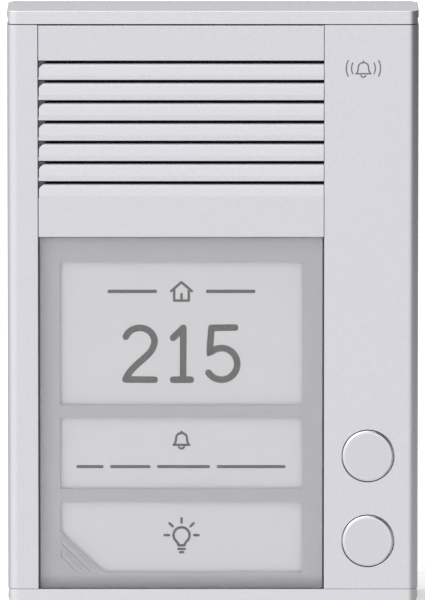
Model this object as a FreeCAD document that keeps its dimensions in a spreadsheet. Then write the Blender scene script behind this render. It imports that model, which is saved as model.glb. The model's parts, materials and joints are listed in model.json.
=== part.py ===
import FreeCAD, Part
import math
import os
import Sketcher

# Surface-mounted door intercom panel: an aluminium extrusion with cast end caps, a louvred
# loudspeaker panel, an illuminated name window and two call buttons, on a steel wall plate.
#
# Frame: millimetres, +Z up, +Y into the wall, the front faces -Y.
# The origin is the middle of the wall plate's back face, which lies on the wall at Y = 0.

V = FreeCAD.Vector
doc = FreeCAD.newDocument("door_intercom_panel")
sheet = doc.addObject("Spreadsheet::Sheet", "Dims")

DIMS = [
    # alias, value, what it is
    ("case_w", 146.4, "overall width"),
    ("top_z", 105.75, "top of the case above the origin"),
    ("low_z", -106.8, "bottom of the case below the origin"),
    ("case_d", 34.0, "overall depth, wall to front"),
    ("cap_ht", 4.65, "height of the top cap"),
    ("low_cap_ht", 4.9, "height of the bottom cap"),
    ("corner_rad", 3.5, "front corner radius of the extrusion"),
    ("wall_t", 2.2, "extrusion wall"),
    ("seal_t", 1.5, "wall seal thickness, compressed"),
    ("top_gap", 0.35, "joint under the top cap"),
    ("bot_gap", 0.15, "joint over the bottom cap"),
    ("recess_l", -62.25, "left edge of the centre recess"),
    ("recess_r", 39.65, "right edge of the centre recess"),
    ("recess_d", 5.0, "depth of the centre recess"),
    ("chan_x", 68.3, "tie bolt channel, distance from the middle"),
    ("chan_y", -12.0, "tie bolt channel, depth position"),
    ("chan_bore", 1.7, "tie bolt channel bore radius"),
    ("split_z", 24.8, "joint between louvre panel and name window"),
    ("louvre_gap", 0.5, "gap over the louvre panel"),
    ("side_gap", 0.2, "gap each side of the louvre panel"),
    ("slot_first", 87.6, "first louvre slot"),
    ("slot_second", 80.7, "second louvre slot"),
    ("slot_pitch", 7.249, "pitch of the other louvre slots"),
    ("lip_rise", 0.35, "louvre lip above the slot line"),
    ("curl_rad", 1.95, "radius of the blade's rolled-in top"),
    ("blade_set", 0.45, "set-back of the blade where the roll starts"),
    ("spk_x", -11.5, "loudspeaker centre, across"),
    ("spk_z", 66.0, "loudspeaker centre, height"),
    ("spk_rad", 28.5, "loudspeaker outer radius"),
    ("btn_x", 55.35, "call button centre, across"),
    ("btn_z_up", -53.87, "upper call button height"),
    ("btn_z_lo", -84.5, "lower call button height"),
    ("btn_hole", 9.5, "radius of the button holes"),
    ("btn_cap", 9.35, "radius of the button caps"),
    ("btn_proud", 0.35, "how far a button stands proud"),
    ("btn_travel", 1.5, "button travel"),
    ("win_recess", 0.8, "name window set-back from the front"),
    ("win_t", 1.0, "name window thickness"),
    ("win_gap", 0.6, "gap each side of the name window"),
    ("mask_t", 0.4, "thickness of the window's inner mask"),
    ("plate_t", 2.0, "wall plate thickness"),
    ("hole_dx", 80.0, "wall screw spacing, across"),
    ("hole_dz", 150.0, "wall screw spacing, up"),
    ("hole_rad", 2.5, "wall screw hole radius"),
    ("cable_w", 30.0, "cable entry width"),
    ("cable_ht", 22.0, "cable entry height"),
    ("cable_z", -52.0, "cable entry height position"),
    ("pcb_t", 1.6, "circuit board thickness"),
]
for i, (alias, value, note) in enumerate(DIMS, start=1):
    sheet.set("A%d" % i, note)
    sheet.set("B%d" % i, str(value))
    sheet.setAlias("B%d" % i, alias)
doc.recompute()


class Q:
    """A length with its number and the sheet expression that gives it."""

    def __init__(self, v, e=None):
        self.v = float(v)
        self.e = e if e is not None else "%.6g" % float(v)

    def _mix(self, other, op, swap=False):
        o = other if isinstance(other, Q) else Q(other)
        a, b = (o, self) if swap else (self, o)
        v = {"+": a.v + b.v, "-": a.v - b.v, "*": a.v * b.v}[op] if op != "/" else a.v / b.v
        return Q(v, "(%s %s %s)" % (a.e, op, b.e))

    def __add__(self, o):
        return self._mix(o, "+")

    def __radd__(self, o):
        return self._mix(o, "+", True)

    def __sub__(self, o):
        return self._mix(o, "-")

    def __rsub__(self, o):
        return self._mix(o, "-", True)

    def __mul__(self, o):
        return self._mix(o, "*")

    def __rmul__(self, o):
        return self._mix(o, "*", True)

    def __truediv__(self, o):
        return self._mix(o, "/")

    def __neg__(self):
        return Q(-self.v, "(-1 * %s)" % self.e)


def dim(alias):
    return Q(sheet.get(alias), "Dims." + alias)


def q(x):
    return x if isinstance(x, Q) else Q(x)


def val(x):
    return x.v if isinstance(x, Q) else float(x)


def bind(obj, prop, x):
    """Sets a property from a length and ties it to the sheet."""
    x = q(x)
    obj.setExpression(prop, x.e)


def role(body, name):
    for o in body.Origin.OriginFeatures:
        if o.Role == name:
            return o
    raise RuntimeError("no origin feature " + name)


count = [0]


def uid(stem):
    count[0] += 1
    return "%s_%03d" % (stem, count[0])


# ---------------------------------------------------------------- PartDesign helpers


def new_body(name):
    return doc.addObject("PartDesign::Body", uid("body_" + name))


def sketch(body, plane, offset=0.0):
    """An empty sketch on one of the body's origin planes, set off along the plane's normal."""
    sk = body.newObject("Sketcher::SketchObject", uid("sketch"))
    sk.AttachmentSupport = [(role(body, plane), "")]
    sk.MapMode = "FlatFace"
    sk.AttachmentOffset = FreeCAD.Placement(V(0, 0, val(offset)), FreeCAD.Rotation())
    bind(sk, "AttachmentOffset.Base.z", offset)
    return sk


def pins(geo, pos, x, y):
    """Constraints that fix a sketch point at x, y from the origin, each with its expression."""
    out = []
    for kind, c in (("DistanceX", q(x)), ("DistanceY", q(y))):
        if abs(c.v) < 1e-9:
            axis = -2 if kind == "DistanceX" else -1
            out.append((Sketcher.Constraint("PointOnObject", geo, pos, axis), None))
        elif c.v > 0:
            out.append((Sketcher.Constraint(kind, -1, 1, geo, pos, c.v), c.e))
        else:
            out.append((Sketcher.Constraint(kind, geo, pos, -1, 1, -c.v), "-1 * " + c.e))
    return out


def constrain(sk, pairs):
    """Adds the constraints in one go and ties their values to the sheet."""
    n0 = sk.ConstraintCount
    sk.addConstraint([c for c, _ in pairs])
    for i, (_, e) in enumerate(pairs):
        if e is not None:
            sk.setExpression("Constraints[%d]" % (n0 + i), e)


def poly(sk, pts):
    """A closed polygon in a sketch, every corner placed from the sheet."""
    n0 = sk.GeometryCount
    n = len(pts)
    lines = []
    for i in range(n):
        a, b = pts[i], pts[(i + 1) % n]
        lines.append(Part.LineSegment(V(val(a[0]), val(a[1]), 0), V(val(b[0]), val(b[1]), 0)))
    sk.addGeometry(lines, False)
    pairs = [(Sketcher.Constraint("Coincident", n0 + i, 2, n0 + (i + 1) % n, 1), None) for i in range(n)]
    for i in range(n):
        pairs += pins(n0 + i, 1, pts[i][0], pts[i][1])
    constrain(sk, pairs)


def rect(sk, x0, x1, y0, y1):
    poly(sk, [(x0, y0), (x1, y0), (x1, y1), (x0, y1)])


def ring(sk, x, y, r):
    """A circle in a sketch."""
    g = sk.addGeometry(Part.Circle(V(val(x), val(y), 0), V(0, 0, 1), val(r)), False)
    constrain(sk, pins(g, 3, x, y) + [(Sketcher.Constraint("Radius", g, val(r)), q(r).e)])


def pad(body, sk, length, reverse=False):
    f = body.newObject("PartDesign::Pad", uid("pad"))
    f.Profile = sk
    f.Length = val(length)
    bind(f, "Length", length)
    f.Reversed = reverse
    doc.recompute()
    return f


def pocket(body, sk, length, reverse=False):
    before = body.Shape.Volume
    f = body.newObject("PartDesign::Pocket", uid("pocket"))
    f.Profile = sk
    f.Length = val(length)
    bind(f, "Length", length)
    f.Reversed = reverse
    doc.recompute()
    if not body.Shape.Volume < before - 1e-4:
        raise RuntimeError("%s cut nothing" % f.Name)
    return f


def cut_y(body, y0, y1, shapes):
    """Cuts outlines drawn in X and Z from y0 to y1, y0 the nearer the front."""
    sk = sketch(body, "XZ_Plane", -q(y0))
    for s in shapes:
        s(sk)
    doc.recompute()
    return pocket(body, sk, q(y1) - q(y0))


def cut_z(body, z0, z1, shapes):
    """Cuts outlines drawn in X and Y from z0 up to z1."""
    sk = sketch(body, "XY_Plane", z0)
    for s in shapes:
        s(sk)
    doc.recompute()
    return pocket(body, sk, q(z1) - q(z0), reverse=True)


def edges_at(shape, test):
    names = []
    for i, e in enumerate(shape.Edges, start=1):
        if len(e.Vertexes) == 2 and test(e.Vertexes[0].Point, e.Vertexes[1].Point):
            names.append("Edge%d" % i)
    return names


def fillet(body, radius, test, kind="Fillet", size2=None):
    base = body.Tip
    names = edges_at(base.Shape, test)
    if not names:
        raise RuntimeError("no edges for a %s on %s" % (kind, body.Name))
    f = body.newObject("PartDesign::" + kind, uid(kind.lower()))
    f.Base = (base, names)
    if kind == "Fillet":
        f.Radius = val(radius)
        bind(f, "Radius", radius)
    else:
        f.Size = val(radius)
        bind(f, "Size", radius)
    doc.recompute()
    if not body.Shape.isValid():
        raise RuntimeError("%s on %s isn't valid" % (kind, body.Name))
    return f


def near(a, b, tol=0.02):
    return abs(a - b) < tol


def upright(*places):
    """Edges parallel to Z at any of the given x, y."""

    def test(p, r):
        return near(p.x, r.x) and near(p.y, r.y) and any(near(p.x, val(x)) and near(p.y, val(y)) for x, y in places)

    return test


def across(*places):
    """Edges parallel to X at any of the given y, z."""

    def test(p, r):
        return near(p.y, r.y) and near(p.z, r.z) and any(near(p.y, val(y)) and near(p.z, val(z)) for y, z in places)

    return test


# ---------------------------------------------------------------- Part helpers


def box(x0, x1, y0, y1, z0, z1):
    o = doc.addObject("Part::Box", uid("box"))
    x0, x1, y0, y1, z0, z1 = (q(c) for c in (x0, x1, y0, y1, z0, z1))
    for prop, x in (("Length", x1 - x0), ("Width", y1 - y0), ("Height", z1 - z0)):
        setattr(o, prop, x.v)
        bind(o, prop, x)
    o.Placement = FreeCAD.Placement(V(x0.v, y0.v, z0.v), FreeCAD.Rotation())
    for k, x in (("x", x0), ("y", y0), ("z", z0)):
        bind(o, "Placement.Base." + k, x)
    return o


TURN = {
    "x": FreeCAD.Rotation(V(0, 1, 0), 90),
    "y": FreeCAD.Rotation(V(1, 0, 0), -90),
    "z": FreeCAD.Rotation(),
}


def rod(axis, x, y, z, r, length):
    """A cylinder from its low end at x, y, z along +axis."""
    o = doc.addObject("Part::Cylinder", uid("rod"))
    o.Radius = val(r)
    bind(o, "Radius", r)
    o.Height = val(length)
    bind(o, "Height", length)
    o.Placement = FreeCAD.Placement(V(val(x), val(y), val(z)), TURN[axis])
    for k, c in (("x", x), ("y", y), ("z", z)):
        bind(o, "Placement.Base." + k, c)
    return o


def taper(axis, x, y, z, r1, r2, length):
    o = doc.addObject("Part::Cone", uid("cone"))
    for prop, c in (("Radius1", r1), ("Radius2", r2), ("Height", length)):
        setattr(o, prop, val(c))
        bind(o, prop, c)
    o.Placement = FreeCAD.Placement(V(val(x), val(y), val(z)), TURN[axis])
    for k, c in (("x", x), ("y", y), ("z", z)):
        bind(o, "Placement.Base." + k, c)
    return o


def prism6(x, y, z, across_flats, length):
    """A hexagonal bar along +Y."""
    o = doc.addObject("Part::Prism", uid("hex"))
    o.Polygon = 6
    o.Circumradius = val(across_flats) / math.sqrt(3)
    o.Height = val(length)
    bind(o, "Height", length)
    o.Placement = FreeCAD.Placement(V(val(x), val(y), val(z)), TURN["y"])
    for k, c in (("x", x), ("y", y), ("z", z)):
        bind(o, "Placement.Base." + k, c)
    return o


def join(*objs):
    o = doc.addObject("Part::MultiFuse", uid("fuse"))
    o.Shapes = list(objs)
    o.Refine = True
    return o


def minus(base, *tools):
    o = doc.addObject("Part::Cut", uid("cut"))
    o.Base = base
    o.Tool = tools[0] if len(tools) == 1 else group(*tools)
    o.Refine = True
    return o


def group(*objs):
    o = doc.addObject("Part::Compound", uid("group"))
    o.Links = list(objs)
    return o


def soften(base, radius, test):
    """A Part fillet on the edges that pass the test."""
    doc.recompute()
    o = doc.addObject("Part::Fillet", uid("soft"))
    o.Base = base
    picked = []
    for i, e in enumerate(base.Shape.Edges, start=1):
        if len(e.Vertexes) == 2 and test(e.Vertexes[0].Point, e.Vertexes[1].Point):
            picked.append((i, val(radius), val(radius)))
    if not picked:
        raise RuntimeError("no edges to soften on " + base.Name)
    o.Edges = picked
    doc.recompute()
    return o


def shaped(name, shape, at=None):
    o = doc.addObject("Part::Feature", uid(name))
    o.Shape = shape
    if at is not None:
        o.Placement = FreeCAD.Placement(V(*[val(c) for c in at]), FreeCAD.Rotation())
    return o


def turned(body_name, pts, x, z, arcs=()):
    """A body turned about a line parallel to Y through x, z, from a section in radius and Y.
    arcs maps a side's number to the middle point of an arc that replaces the straight side."""
    body = new_body(body_name)
    sk = sketch(body, "XY_Plane", 0.0)
    n = len(pts)
    arcs = dict(arcs)
    geo = []
    for i in range(n):
        a, b = pts[i], pts[(i + 1) % n]
        pa, pb = V(val(a[0]), val(a[1]), 0), V(val(b[0]), val(b[1]), 0)
        if i in arcs:
            geo.append(Part.Arc(pa, V(arcs[i][0], arcs[i][1], 0), pb))
        else:
            geo.append(Part.LineSegment(pa, pb))
    sk.addGeometry(geo, False)

    def ends(i):
        # An arc may be stored the other way round, so the end that lies at the point is found.
        a = pts[i]
        s = sk.Geometry[i].StartPoint
        return (1, 2) if near(s.x, val(a[0]), 1e-6) and near(s.y, val(a[1]), 1e-6) else (2, 1)

    pairs = []
    for i in range(n):
        j = (i + 1) % n
        pairs.append((Sketcher.Constraint("Coincident", i, ends(i)[1], j, ends(j)[0]), None))
    for i in range(n):
        pairs += pins(i, ends(i)[0], pts[i][0], pts[i][1])
    for i in arcs:
        pairs.append((Sketcher.Constraint("Radius", i, sk.Geometry[i].Radius), None))
    constrain(sk, pairs)
    doc.recompute()
    rev = body.newObject("PartDesign::Revolution", uid("turn"))
    rev.Profile = sk
    rev.ReferenceAxis = (sk, ["V_Axis"])
    rev.Angle = 360.0
    body.Placement = FreeCAD.Placement(V(val(x), 0, val(z)), FreeCAD.Rotation())
    bind(body, "Placement.Base.x", x)
    bind(body, "Placement.Base.z", z)
    doc.recompute()
    return body


NODES = []


def node(obj, label):
    obj.Label = label
    NODES.append((label, obj))
    return obj


# ---------------------------------------------------------------- shared positions

W = dim("case_w")
D = dim("case_d")
half_w = W / 2
half_h = dim("top_z")
low_h = dim("low_z")
H = half_h - low_h
cap_h = dim("cap_ht")
low_cap = dim("low_cap_ht")
t = dim("wall_t")
front = -D
rear = -dim("seal_t")
cap_in = half_h - cap_h            # inner face of the top cap
low_in = low_h + low_cap           # inner face of the bottom cap
body_z1 = cap_in - dim("top_gap")  # top end of the extrusion
body_z0 = low_in + dim("bot_gap")  # bottom end of the extrusion
rl, rr = dim("recess_l"), dim("recess_r")
web_f = front + dim("recess_d")    # front face of the recessed web
web_b = web_f + t                  # rear face of the web
strip_b = front + t                # rear face of the front strips
bx_, bzu, bzl = dim("btn_x"), dim("btn_z_up"), dim("btn_z_lo")
sx, sz = dim("spk_x"), dim("spk_z")

# Window legs, web screws and standoffs, by x and z.
LEGS = [(-50.0, 21.2), (28.0, 21.2), (-50.0, -99.5), (28.0, -99.5)]
PANEL_SCREWS = [(-56.0, 31.0), (33.0, 31.0), (-56.0, 96.0), (33.0, 96.0)]
LED_SCREWS = [(-56.2, -60.0), (33.7, -60.0), (-56.2, -15.0), (33.7, -15.0)]
CLAMPS = [
    (-11.5 + 30.2 * math.cos(math.radians(a)), 66.0 + 30.2 * math.sin(math.radians(a))) for a in (45, 135, 225, 315)
]
STANDOFFS = [(-60.4, -84.0), (38.0, -84.0), (-60.4, 8.0), (38.0, 8.0)]

# ---------------------------------------------------------------- aluminium extrusion

profile = new_body("housing")
sk = sketch(profile, "XY_Plane", body_z0)
cx_, cy_ = dim("chan_x"), dim("chan_y")
inner = half_w - t
poly(
    sk,
    [
        (-half_w, rear),
        (-half_w, front),
        (rl, front),
        (rl, web_f),
        (rr, web_f),
        (rr, front),
        (half_w, front),
        (half_w, rear),
        (inner, rear),
        (inner, cy_ + 3.0),
        (cx_ - 2.6, cy_ + 3.0),
        (cx_ - 2.6, cy_ - 3.0),
        (inner, cy_ - 3.0),
        (inner, strip_b),
        (rr + t, strip_b),
        (rr + t, web_b),
        (rl - t, web_b),
        (rl - t, strip_b),
        (-inner, strip_b),
        (-inner, cy_ - 3.0),
        (-cx_ + 2.6, cy_ - 3.0),
        (-cx_ + 2.6, cy_ + 3.0),
        (-inner, cy_ + 3.0),
        (-inner, rear),
    ],
)
ring(sk, cx_, cy_, dim("chan_bore"))
ring(sk, -cx_, cy_, dim("chan_bore"))
doc.recompute()
pad(profile, sk, body_z1 - body_z0)
fillet(profile, dim("corner_rad"), upright((-half_w, front), (half_w, front)))
fillet(profile, 1.3, upright((-inner, strip_b), (inner, strip_b)))
fillet(profile, 0.2, upright((rl, front), (rr, front)))
cut_y(
    profile,
    front - 1.0,
    strip_b + 1.0,
    [lambda s: ring(s, bx_, bzu, dim("btn_hole")), lambda s: ring(s, bx_, bzl, dim("btn_hole"))],
)
# A fine broken edge round each button hole.
doc.recompute()
holed = profile.Tip
rims = [
    "Edge%d" % i
    for i, e in enumerate(holed.Shape.Edges, start=1)
    if isinstance(e.Curve, Part.Circle)
    and near(e.Curve.Radius, dim("btn_hole").v)
    and near(e.CenterOfMass.y, front.v)
]
rim = profile.newObject("PartDesign::Chamfer", "button_hole_edge")
rim.Base = (holed, rims)
rim.Size = 0.12
doc.recompute()
cut_y(
    profile,
    web_f - 1.0,
    web_b + 1.0,
    [
        lambda s: ring(s, sx, sz, 25.0),
        lambda s: rect(s, -54.5, 32.0, -95.5, 17.5),
    ]
    + [(lambda s, p=p: ring(s, p[0], p[1], 1.6)) for p in LEGS + PANEL_SCREWS],
)
cut_y(profile, web_f + 0.4, web_b + 1.0, [(lambda s, p=p: ring(s, p[0], p[1], 0.85)) for p in LED_SCREWS])
cut_y(profile, web_f + 0.4, web_b + 1.0, [(lambda s, p=p: ring(s, p[0], p[1], 1.25)) for p in CLAMPS])
node(profile, "housing_profile")

# ---------------------------------------------------------------- end caps


def cap_outline(sk, inset=0.0):
    rect(sk, -half_w + inset, half_w - inset, front + inset, rear)


top = new_body("top_cap")
sk = sketch(top, "XY_Plane", cap_in)
cap_outline(sk)
doc.recompute()
pad(top, sk, cap_h)
fillet(top, dim("corner_rad"), upright((-half_w, front), (half_w, front)))
fillet(
    top,
    0.35,
    lambda p, r: near(p.z, half_h.v) and near(r.z, half_h.v) and not (near(p.y, rear.v) and near(r.y, rear.v)),
)
# A small relief runs along each side edge where the cap meets the extrusion.


def side_relief(body, zj, up):
    """Takes the corner off both side edges of a cap at the height zj; up is 1 above, -1 below."""
    for sgn in (-1.0, 1.0):
        e = half_w * sgn
        cut_y(
            body,
            front - 1.0,
            rear + 1.0,
            [
                lambda s: poly(
                    s,
                    [
                        (e - 0.62 * sgn, zj - 0.5 * up),
                        (e - 0.62 * sgn, zj + 0.9 * up),
                        (e - 0.3 * sgn, zj + 1.9 * up),
                        (e + 0.3 * sgn, zj + 2.7 * up),
                        (e + 0.3 * sgn, zj - 0.5 * up),
                    ],
                )
            ],
        )


side_relief(top, cap_in, 1.0)
# The hollow underside saves weight behind the recess.
cut_z(top, cap_in - 0.2, cap_in + 2.5, [lambda s: rect(s, -64.0, 64.0, -25.0, -8.5)])
for x0, x1, y0, y1, depth in (
    (-50.0, 27.0, -26.4, -24.9, 4.0),
    (-46.0, 46.0, -6.0, -4.5, 9.2),
):
    sk = sketch(top, "XY_Plane", cap_in)
    rect(sk, x0, x1, y0, y1)
    doc.recompute()
    pad(top, sk, depth, reverse=True)
cut_z(
    top,
    cap_in - 0.1,
    cap_in + 3.0,
    [lambda s: ring(s, cx_, cy_, 1.55), lambda s: ring(s, -cx_, cy_, 1.55)],
)
node(top, "top_cap")

bottom = new_body("bottom_cap")
sk = sketch(bottom, "XY_Plane", low_h)
cap_outline(sk)
doc.recompute()
pad(bottom, sk, low_cap)
fillet(bottom, dim("corner_rad"), upright((-half_w, front), (half_w, front)))
# Both lower corners are rounded as seen from the front.


def lower_corner(s, sgn, r=2.4):
    """Everything outside a quarter circle at a lower corner; sgn is 1 on the right, -1 on the left."""
    x, z = half_w * sgn, low_h
    a, b = (x - r * sgn, z), (x, z + r)
    k = math.sqrt(0.5) * r
    mid_pt = V(x.v - (r - k) * sgn, z.v + r - k, 0)
    corners = [a, b, (x + 1.0 * sgn, z + r), (x + 1.0 * sgn, z - 1.0), (x - r * sgn, z - 1.0)]
    n0 = s.GeometryCount
    v = [V(c[0].v, c[1].v, 0) for c in corners]
    s.addGeometry([Part.Arc(v[0], mid_pt, v[1]) if sgn > 0 else Part.Arc(v[1], mid_pt, v[0])] + [Part.LineSegment(v[i], v[(i + 1) % 5]) for i in range(1, 5)], False)
    first, last = (1, 2) if sgn > 0 else (2, 1)
    pairs = [
        (Sketcher.Constraint("Coincident", n0, last, n0 + 1, 1), None),
        (Sketcher.Constraint("Coincident", n0 + 1, 2, n0 + 2, 1), None),
        (Sketcher.Constraint("Coincident", n0 + 2, 2, n0 + 3, 1), None),
        (Sketcher.Constraint("Coincident", n0 + 3, 2, n0 + 4, 1), None),
        (Sketcher.Constraint("Coincident", n0 + 4, 2, n0, first), None),
    ]
    pairs += pins(n0, first, *a) + pins(n0, last, *b)
    for i in (2, 3, 4):
        pairs += pins(n0 + i, 1, *corners[i])
    pairs.append((Sketcher.Constraint("Radius", n0, r), None))
    constrain(s, pairs)


cut_y(bottom, front - 1.0, rear + 1.0, [lambda s: lower_corner(s, 1.0), lambda s: lower_corner(s, -1.0)])
side_relief(bottom, low_in, -1.0)
cut_z(bottom, low_in - 2.3, low_in + 0.2, [lambda s: rect(s, -62.0, 62.0, -26.0, -4.2)])
for x0, x1, y0, y1, depth in ((-46.0, 24.0, -26.4, -24.9, 3.0),):
    sk = sketch(bottom, "XY_Plane", low_in - 0.01)
    rect(sk, x0, x1, y0, y1)
    doc.recompute()
    pad(bottom, sk, depth)
# Solid seats round the lock screw and the microphone port inside the hollow.
sk = sketch(bottom, "XY_Plane", low_in - 2.4)
ring(sk, 0.0, -10.0, 6.5)
ring(sk, -28.0, -14.0, 7.2)
doc.recompute()
pad(bottom, sk, 2.4)
cut_z(
    bottom,
    low_h - 0.5,
    low_h + 2.6,
    [
        lambda s: ring(s, cx_, cy_, 3.0),
        lambda s: ring(s, -cx_, cy_, 3.0),
        lambda s: ring(s, 0.0, -10.0, 3.9),
    ],
)
cut_z(
    bottom,
    low_h + 2.0,
    low_in + 0.5,
    [
        lambda s: ring(s, cx_, cy_, 1.6),
        lambda s: ring(s, -cx_, cy_, 1.6),
        lambda s: ring(s, 0.0, -10.0, 2.15),
    ],
)
cut_z(bottom, low_h - 0.5, low_in + 0.5, [lambda s: ring(s, -28.0, -14.0, 1.0)])
node(bottom, "bottom_cap")

# Thin joint gaskets, set back from the outside by 0.45 mm.


def gasket(z0, z1, label):
    g = new_body(label)
    s = sketch(g, "XY_Plane", z0)
    i = 0.45
    poly(
        s,
        [
            (-half_w + i, rear - i),
            (-half_w + i, front + 2.2),
            (-half_w + 2.2, front + i),
            (rl - i, front + i),
            (rl - i, web_f + i),
            (rr + i, web_f + i),
            (rr + i, front + i),
            (half_w - 2.2, front + i),
            (half_w - i, front + 2.2),
            (half_w - i, rear - i),
            (inner + 0.25, rear - i),
            (inner + 0.25, strip_b - 0.25),
            (rr + t - 0.3, strip_b - 0.25),
            (rr + t - 0.3, web_b - 0.3),
            (rl - t + 0.3, web_b - 0.3),
            (rl - t + 0.3, strip_b - 0.25),
            (-inner - 0.25, strip_b - 0.25),
            (-inner - 0.25, rear - i),
        ],
    )
    doc.recompute()
    pad(g, s, z1 - z0)
    return node(g, label)


gasket(body_z1, cap_in, "top_cap_gasket")
gasket(low_in, body_z0, "bottom_cap_gasket")

# Long tie bolts clamp both caps to the extrusion through its screw channels.
bolts = []
for s in (-1.0, 1.0):
    head = rod("z", s * cx_, cy_, low_h + 0.5, 2.75, 2.1)
    shank = rod("z", s * cx_, cy_, low_h + 2.0, 1.5, H - low_cap - 0.4)
    drive = rod("z", s * cx_, cy_, low_h + 0.3, 1.15, 1.4)
    bolts.append(minus(join(head, shank), drive))
node(group(*bolts), "tie_bolts")

# ---------------------------------------------------------------- wall plate and seals

plate_x, plate_z = 70.2, 98.5
pt = dim("plate_t")
hx, hz, hr = dim("hole_dx") / 2, dim("hole_dz") / 2, dim("hole_rad")
cw, ch, cz = dim("cable_w") / 2, dim("cable_ht") / 2, dim("cable_z")
plate = new_body("wall_plate")
sk = sketch(plate, "XZ_Plane", 0.0)
rect(sk, -plate_x, plate_x, -plate_z, plate_z)
for a in (-1.0, 1.0):
    for b in (-1.0, 1.0):
        ring(sk, a * hx, b * hz, hr)
rect(sk, -cw, cw, cz - ch, cz + ch)
doc.recompute()
pad(plate, sk, pt)
fillet(
    plate,
    4.0,
    lambda p, r: near(p.x, r.x) and near(p.z, r.z) and near(abs(p.x), plate_x) and near(abs(p.z), plate_z),
)
# Stiffening flanges along both sides.
for a in (-1.0, 1.0):
    sk = sketch(plate, "XZ_Plane", pt - 0.01)
    rect(sk, a * (plate_x - 0.0), a * (plate_x - 1.6), -88.0, 88.0)
    doc.recompute()
    pad(plate, sk, 4.0)
# Two hooks at the top carry the case.
for x0, x1 in ((-40.0, -20.0), (20.0, 40.0)):
    sk = sketch(plate, "XZ_Plane", pt - 0.01)
    rect(sk, x0, x1, 89.0, 91.0)
    doc.recompute()
    pad(plate, sk, 6.8)
    sk = sketch(plate, "XZ_Plane", 7.3)
    rect(sk, x0, x1, 89.0, 96.0)
    doc.recompute()
    pad(plate, sk, 1.5)
# A bent tab at the bottom takes the lock screw.
sk = sketch(plate, "XZ_Plane", pt - 0.01)
rect(sk, -12.0, 12.0, -98.5, -96.5)
doc.recompute()
pad(plate, sk, 13.0)
cut_z(plate, -99.0, -96.0, [lambda s: ring(s, 0.0, -10.0, 2.0)])
# Pressed beads either side stiffen the sheet.
for a in (-1.0, 1.0):
    sk = sketch(plate, "XZ_Plane", pt - 0.01)
    rect(sk, a * 24.0, a * 28.0, -20.0, 70.0)
    doc.recompute()
    pad(plate, sk, 1.2)
node(plate, "wall_plate")

o_ = box(-half_w, half_w, rear, 0.0, low_h, half_h)
i_ = box(-half_w + 2.3, half_w - 2.3, rear - 1.0, 1.0, low_h + 3.0, half_h - 3.0)
node(
    soften(
        minus(o_, i_),
        2.0,
        lambda p, r: near(p.x, r.x)
        and near(p.z, r.z)
        and near(abs(p.x), half_w.v)
        and (near(p.z, half_h.v) or near(p.z, low_h.v)),
    ),
    "wall_seal",
)

# Rubber edging lines the cable entry: a flange on the room side and a lip through the opening.
edging = join(
    box(-cw - 2.0, cw + 2.0, -pt - 1.0, -pt, cz - ch - 2.0, cz + ch + 2.0),
    box(-cw, cw, -pt - 1.0, 0.0, cz - ch, cz + ch),
)
node(
    minus(edging, box(-cw + 1.5, cw - 1.5, -pt - 2.0, 1.0, cz - ch + 1.5, cz + ch - 1.5)),
    "cable_entry_grommet",
)

lock = join(
    rod("z", 0.0, -10.0, low_h + 0.6, 3.6, 2.0),
    rod("z", 0.0, -10.0, low_h + 2.5, 1.95, 12.3),
)
node(
    minus(
        lock,
        rod("z", 0.0, -10.0, low_h + 0.4, 1.5, 1.6),
    ),
    "lock_screw",
)

# ---------------------------------------------------------------- louvred loudspeaker panel

SLOTS = [dim("slot_first"), dim("slot_second")] + [
    dim("slot_second") - dim("slot_pitch") * k for k in range(1, 6)
]
lip = dim("lip_rise")
panel_x0, panel_x1 = rl + dim("side_gap"), rr - dim("side_gap")
panel_z0, panel_z1 = dim("split_z"), cap_in - dim("louvre_gap")
throat = front + 3.4          # depth where the slot ends
panel_b = web_f               # the panel's rear rests on the web
set_back = front + dim("blade_set")
louvre = new_body("louvre_panel")
sk = sketch(louvre, "YZ_Plane", panel_x0)
pts = [(panel_b, panel_z1), (front, panel_z1)]
for s in SLOTS:
    pts += [
        (front, s + lip),
        (front + 1.2, s + lip + 0.35),
        (throat, s + 1.15),
        (throat, s - 0.05),
        (set_back, s - 0.05),
        (front, s - 4.9),
    ]
pts += [(front, panel_z0), (panel_b, panel_z0)]
poly(sk, pts)
doc.recompute()
pad(louvre, sk, panel_x1 - panel_x0)
fillet(louvre, dim("curl_rad"), across(*[(set_back, s - 0.05) for s in SLOTS]))
fillet(louvre, 0.22, across(*[(front, s + lip) for s in SLOTS]))
fillet(louvre, 0.3, across((front, panel_z0), (front, panel_z1)))
# The rolled-in top of every blade is snipped off at its left end and the blade is a little short there.
cut_y(
    louvre,
    front - 0.5,
    front + 2.3,
    [
        lambda sk_, s=s: poly(
            sk_,
            [
                (panel_x0 - 0.5, s + 0.2),
                (panel_x0 + 3.2, s + 0.2),
                (panel_x0 + 2.1, s - 0.45),
                (panel_x0 + 1.35, s - 1.15),
                (panel_x0 + 0.55, s - 1.75),
                (panel_x0 + 0.16, s - 2.5),
                (panel_x0 + 0.16, s - 5.5),
                (panel_x0 - 0.5, s - 5.5),
            ],
        )
        for s in SLOTS
    ],
)
# Shallow seat for the mesh, sound openings behind every slot, and blind holes for the screws.
cut_y(louvre, panel_b - 0.6, panel_b + 0.5, [lambda s: rect(s, -60.0, 37.0, 40.0, 92.0)])


def sound_slots(s, c):
    for k in range(6):
        rect(s, -57.0 + 15.5 * k, -45.0 + 15.5 * k, c + 0.15, c + 1.1)


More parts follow.
